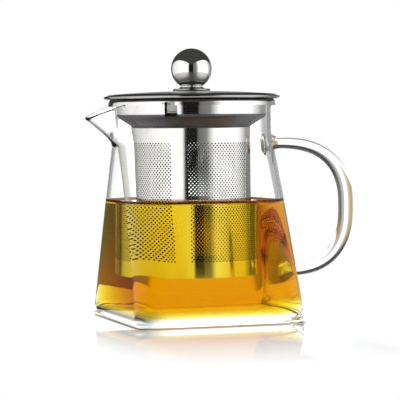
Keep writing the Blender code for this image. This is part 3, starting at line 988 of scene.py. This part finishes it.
# Glass sees a brown card at the left of the wall and a dark one at its right, which draw its edges.
# Below the horizon the dark one is amber.
AMBER_START = -0.08
AMBER_FULL = -0.14
glass_walls = walls(
    [
        (-180, 1.5),
        (-176, 1.5),
        (-171, 0.72),
        (-166, (0.62, 0.60, 0.56)),
        (-160, (0.62, 0.46, 0.18)),
        (-150, (0.50, 0.36, 0.12)),
        (-108, (0.40, 0.30, 0.12)),
        (-100, 0.95),
        (-40, 0.9),
        (-14, 0.6),
        (-12, 0.3),
        (10, 0.3),
        (12, 0.5),
        (46, 1.0),
        (108, 0.9),
        (115, 0.16),
        (150, 0.16),
        (157, 0.40),
        (170, 0.60),
        (174, 1.5),
        (180, 1.5),
    ]
)
amber = walls(
    [
        (-180, 1.0),
        (108, 1.0),
        (115, (2.6, 1.4, 0.5)),
        (150, (2.6, 1.4, 0.5)),
        (157, (1.1, 0.95, 0.75)),
        (162, 1.0),
        (180, 1.0),
    ]
)
ends = {"From Min": AMBER_START, "From Max": AMBER_FULL}
low_down = add(tree, "ShaderNodeMapRange", {"Value": axes.outputs["Z"], **ends})
lights = {0: low_down.outputs["Result"], 6: glass_walls.outputs["Color"], 7: amber.outputs["Color"]}
tinted = add(tree, "ShaderNodeMix", lights, data_type="RGBA", blend_type="MULTIPLY")

# For glass the walls stand on a white table, which is darker close below the pot, and they darken
# towards their top.
TABLE_START = -0.20
TABLE_FULL = -0.26
TABLE_LIGHT = (1.2, 1.2, 1.2, 1.0)
DUSK_START = 0.04
DUSK_SHADE = 0.30
BELOW_START = -0.40
BELOW_FULL = -0.52
BELOW_SHADE = 0.25
ends = {"From Min": TABLE_START, "From Max": TABLE_FULL}
table = add(tree, "ShaderNodeMapRange", {"Value": axes.outputs["Z"], **ends})
lights = {0: table.outputs["Result"], 6: tinted.outputs[2], 7: TABLE_LIGHT}
on_table = add(tree, "ShaderNodeMix", lights, data_type="RGBA")
ends = {"From Min": DUSK_START, "From Max": BACK_WALL_TOP, "To Min": 1.0, "To Max": DUSK_SHADE}
dusk = add(tree, "ShaderNodeMapRange", {"Value": axes.outputs["Z"], **ends})
ends = {"From Min": BELOW_START, "From Max": BELOW_FULL, "To Min": 1.0, "To Max": BELOW_SHADE}
below = add(tree, "ShaderNodeMapRange", {"Value": axes.outputs["Z"], **ends})
pair = {0: dusk.outputs["Result"], 1: below.outputs["Result"]}
dimming = add(tree, "ShaderNodeMath", pair, operation="MULTIPLY")
lights = {0: 1.0, 6: on_table.outputs[2], 7: dimming.outputs["Value"]}
for_glass = add(tree, "ShaderNodeMix", lights, data_type="RGBA", blend_type="MULTIPLY")

# The white card stands right behind the pot. Steel sees it up to a higher edge than glass does.
CARD_EDGE = 0.992
CARD_SOFTNESS = 0.004
CARD_TOP = 0.16
CARD_TOP_FOR_GLASS = 0.06
CARD_LIGHT = (1.45, 1.55, 1.5, 1.0)
by_steel = add(tree, "ShaderNodeMath", {0: ray.outputs["Glossy Depth"], 1: 1.0}, operation="MINIMUM")
lights = {0: by_steel.outputs["Value"], 6: for_glass.outputs[2], 7: for_steel.outputs[2]}
seen = add(tree, "ShaderNodeMix", lights, data_type="RGBA")
ends = {"From Min": CARD_EDGE - CARD_SOFTNESS, "From Max": CARD_EDGE}
behind = add(tree, "ShaderNodeMapRange", {"Value": axes.outputs["Y"], **ends})
high_card = below_top(math.pi, CARD_TOP)
pair = {0: high_card.outputs["Result"], 1: by_steel.outputs["Value"]}
high_card = add(tree, "ShaderNodeMath", pair, operation="MULTIPLY")
low_card = below_top(math.pi, CARD_TOP_FOR_GLASS)
pair = {0: low_card.outputs["Result"], 1: high_card.outputs["Value"]}
card_height = add(tree, "ShaderNodeMath", pair, operation="MAXIMUM")
pair = {0: behind.outputs["Result"], 1: card_height.outputs["Value"]}
card = add(tree, "ShaderNodeMath", pair, operation="MULTIPLY")
lights = {0: card.outputs["Value"], 6: seen.outputs[2], 7: CARD_LIGHT}
seen = add(tree, "ShaderNodeMix", lights, data_type="RGBA")

# Above the boxes and the wall is the dark ceiling. The eye and the floor see white everywhere.
left_box = below_top(-BOX_AZIMUTH, BOX_TOP)
right_box = below_top(BOX_AZIMUTH, BOX_TOP)
back_wall = below_top(math.pi, BACK_WALL_TOP)
pair = {0: left_box.outputs["Result"], 1: right_box.outputs["Result"]}
soft_boxes = add(tree, "ShaderNodeMath", pair, operation="MAXIMUM")
pair = {0: soft_boxes.outputs["Value"], 1: back_wall.outputs["Result"]}
lit_part = add(tree, "ShaderNodeMath", pair, operation="MAXIMUM")
lights = {0: lit_part.outputs["Value"], 6: CEILING_LIGHT, 7: seen.outputs[2]}
roofed = add(tree, "ShaderNodeMix", lights, data_type="RGBA")
pair = {0: ray.outputs["Is Glossy Ray"], 1: ray.outputs["Is Transmission Ray"]}
mirrored = add(tree, "ShaderNodeMath", pair, operation="MAXIMUM")
lights = {0: mirrored.outputs["Value"], 6: WHITE_LIGHT, 7: roofed.outputs[2]}
light = add(tree, "ShaderNodeMix", lights, data_type="RGBA")
tree.links.new(light.outputs[2], tree.nodes["Background"].inputs["Color"])


# Camera: a long lens a little above the middle of the pot, as for a catalogue picture. Glass in glass
# needs many bounces of light.
CAMERA_DISTANCE = 0.955
CAMERA_HEIGHT = 0.0936
AIM_ASIDE = 0.00355
AIM_HEIGHT = 0.0583
FIELD_OF_VIEW = math.radians(11.72)
SENSOR_WIDTH = 36
ROLL = math.radians(-0.6)
aside = Vector((math.cos(CAMERA_AZIMUTH), math.sin(CAMERA_AZIMUTH), 0))
back = Vector((math.sin(CAMERA_AZIMUTH), -math.cos(CAMERA_AZIMUTH), 0))
camera = bpy.data.objects.new("camera", bpy.data.cameras.new("camera"))
bpy.context.scene.collection.objects.link(camera)
camera.data.sensor_width = SENSOR_WIDTH
camera.data.lens = SENSOR_WIDTH / 2 / math.tan(FIELD_OF_VIEW / 2)
camera.location = back * CAMERA_DISTANCE + Vector((0, 0, CAMERA_HEIGHT))
aim = aside * AIM_ASIDE + Vector((0, 0, AIM_HEIGHT))
look = (aim - camera.location).to_track_quat("-Z", "Y").to_matrix()
camera.rotation_euler = look.to_euler()
camera.rotation_euler.rotate_axis("Z", ROLL)
scene = bpy.context.scene
scene.camera = camera
scene.view_settings.view_transform = "Standard"
scene.cycles.max_bounces = 32
scene.cycles.transmission_bounces = 32
scene.cycles.glossy_bounces = 12
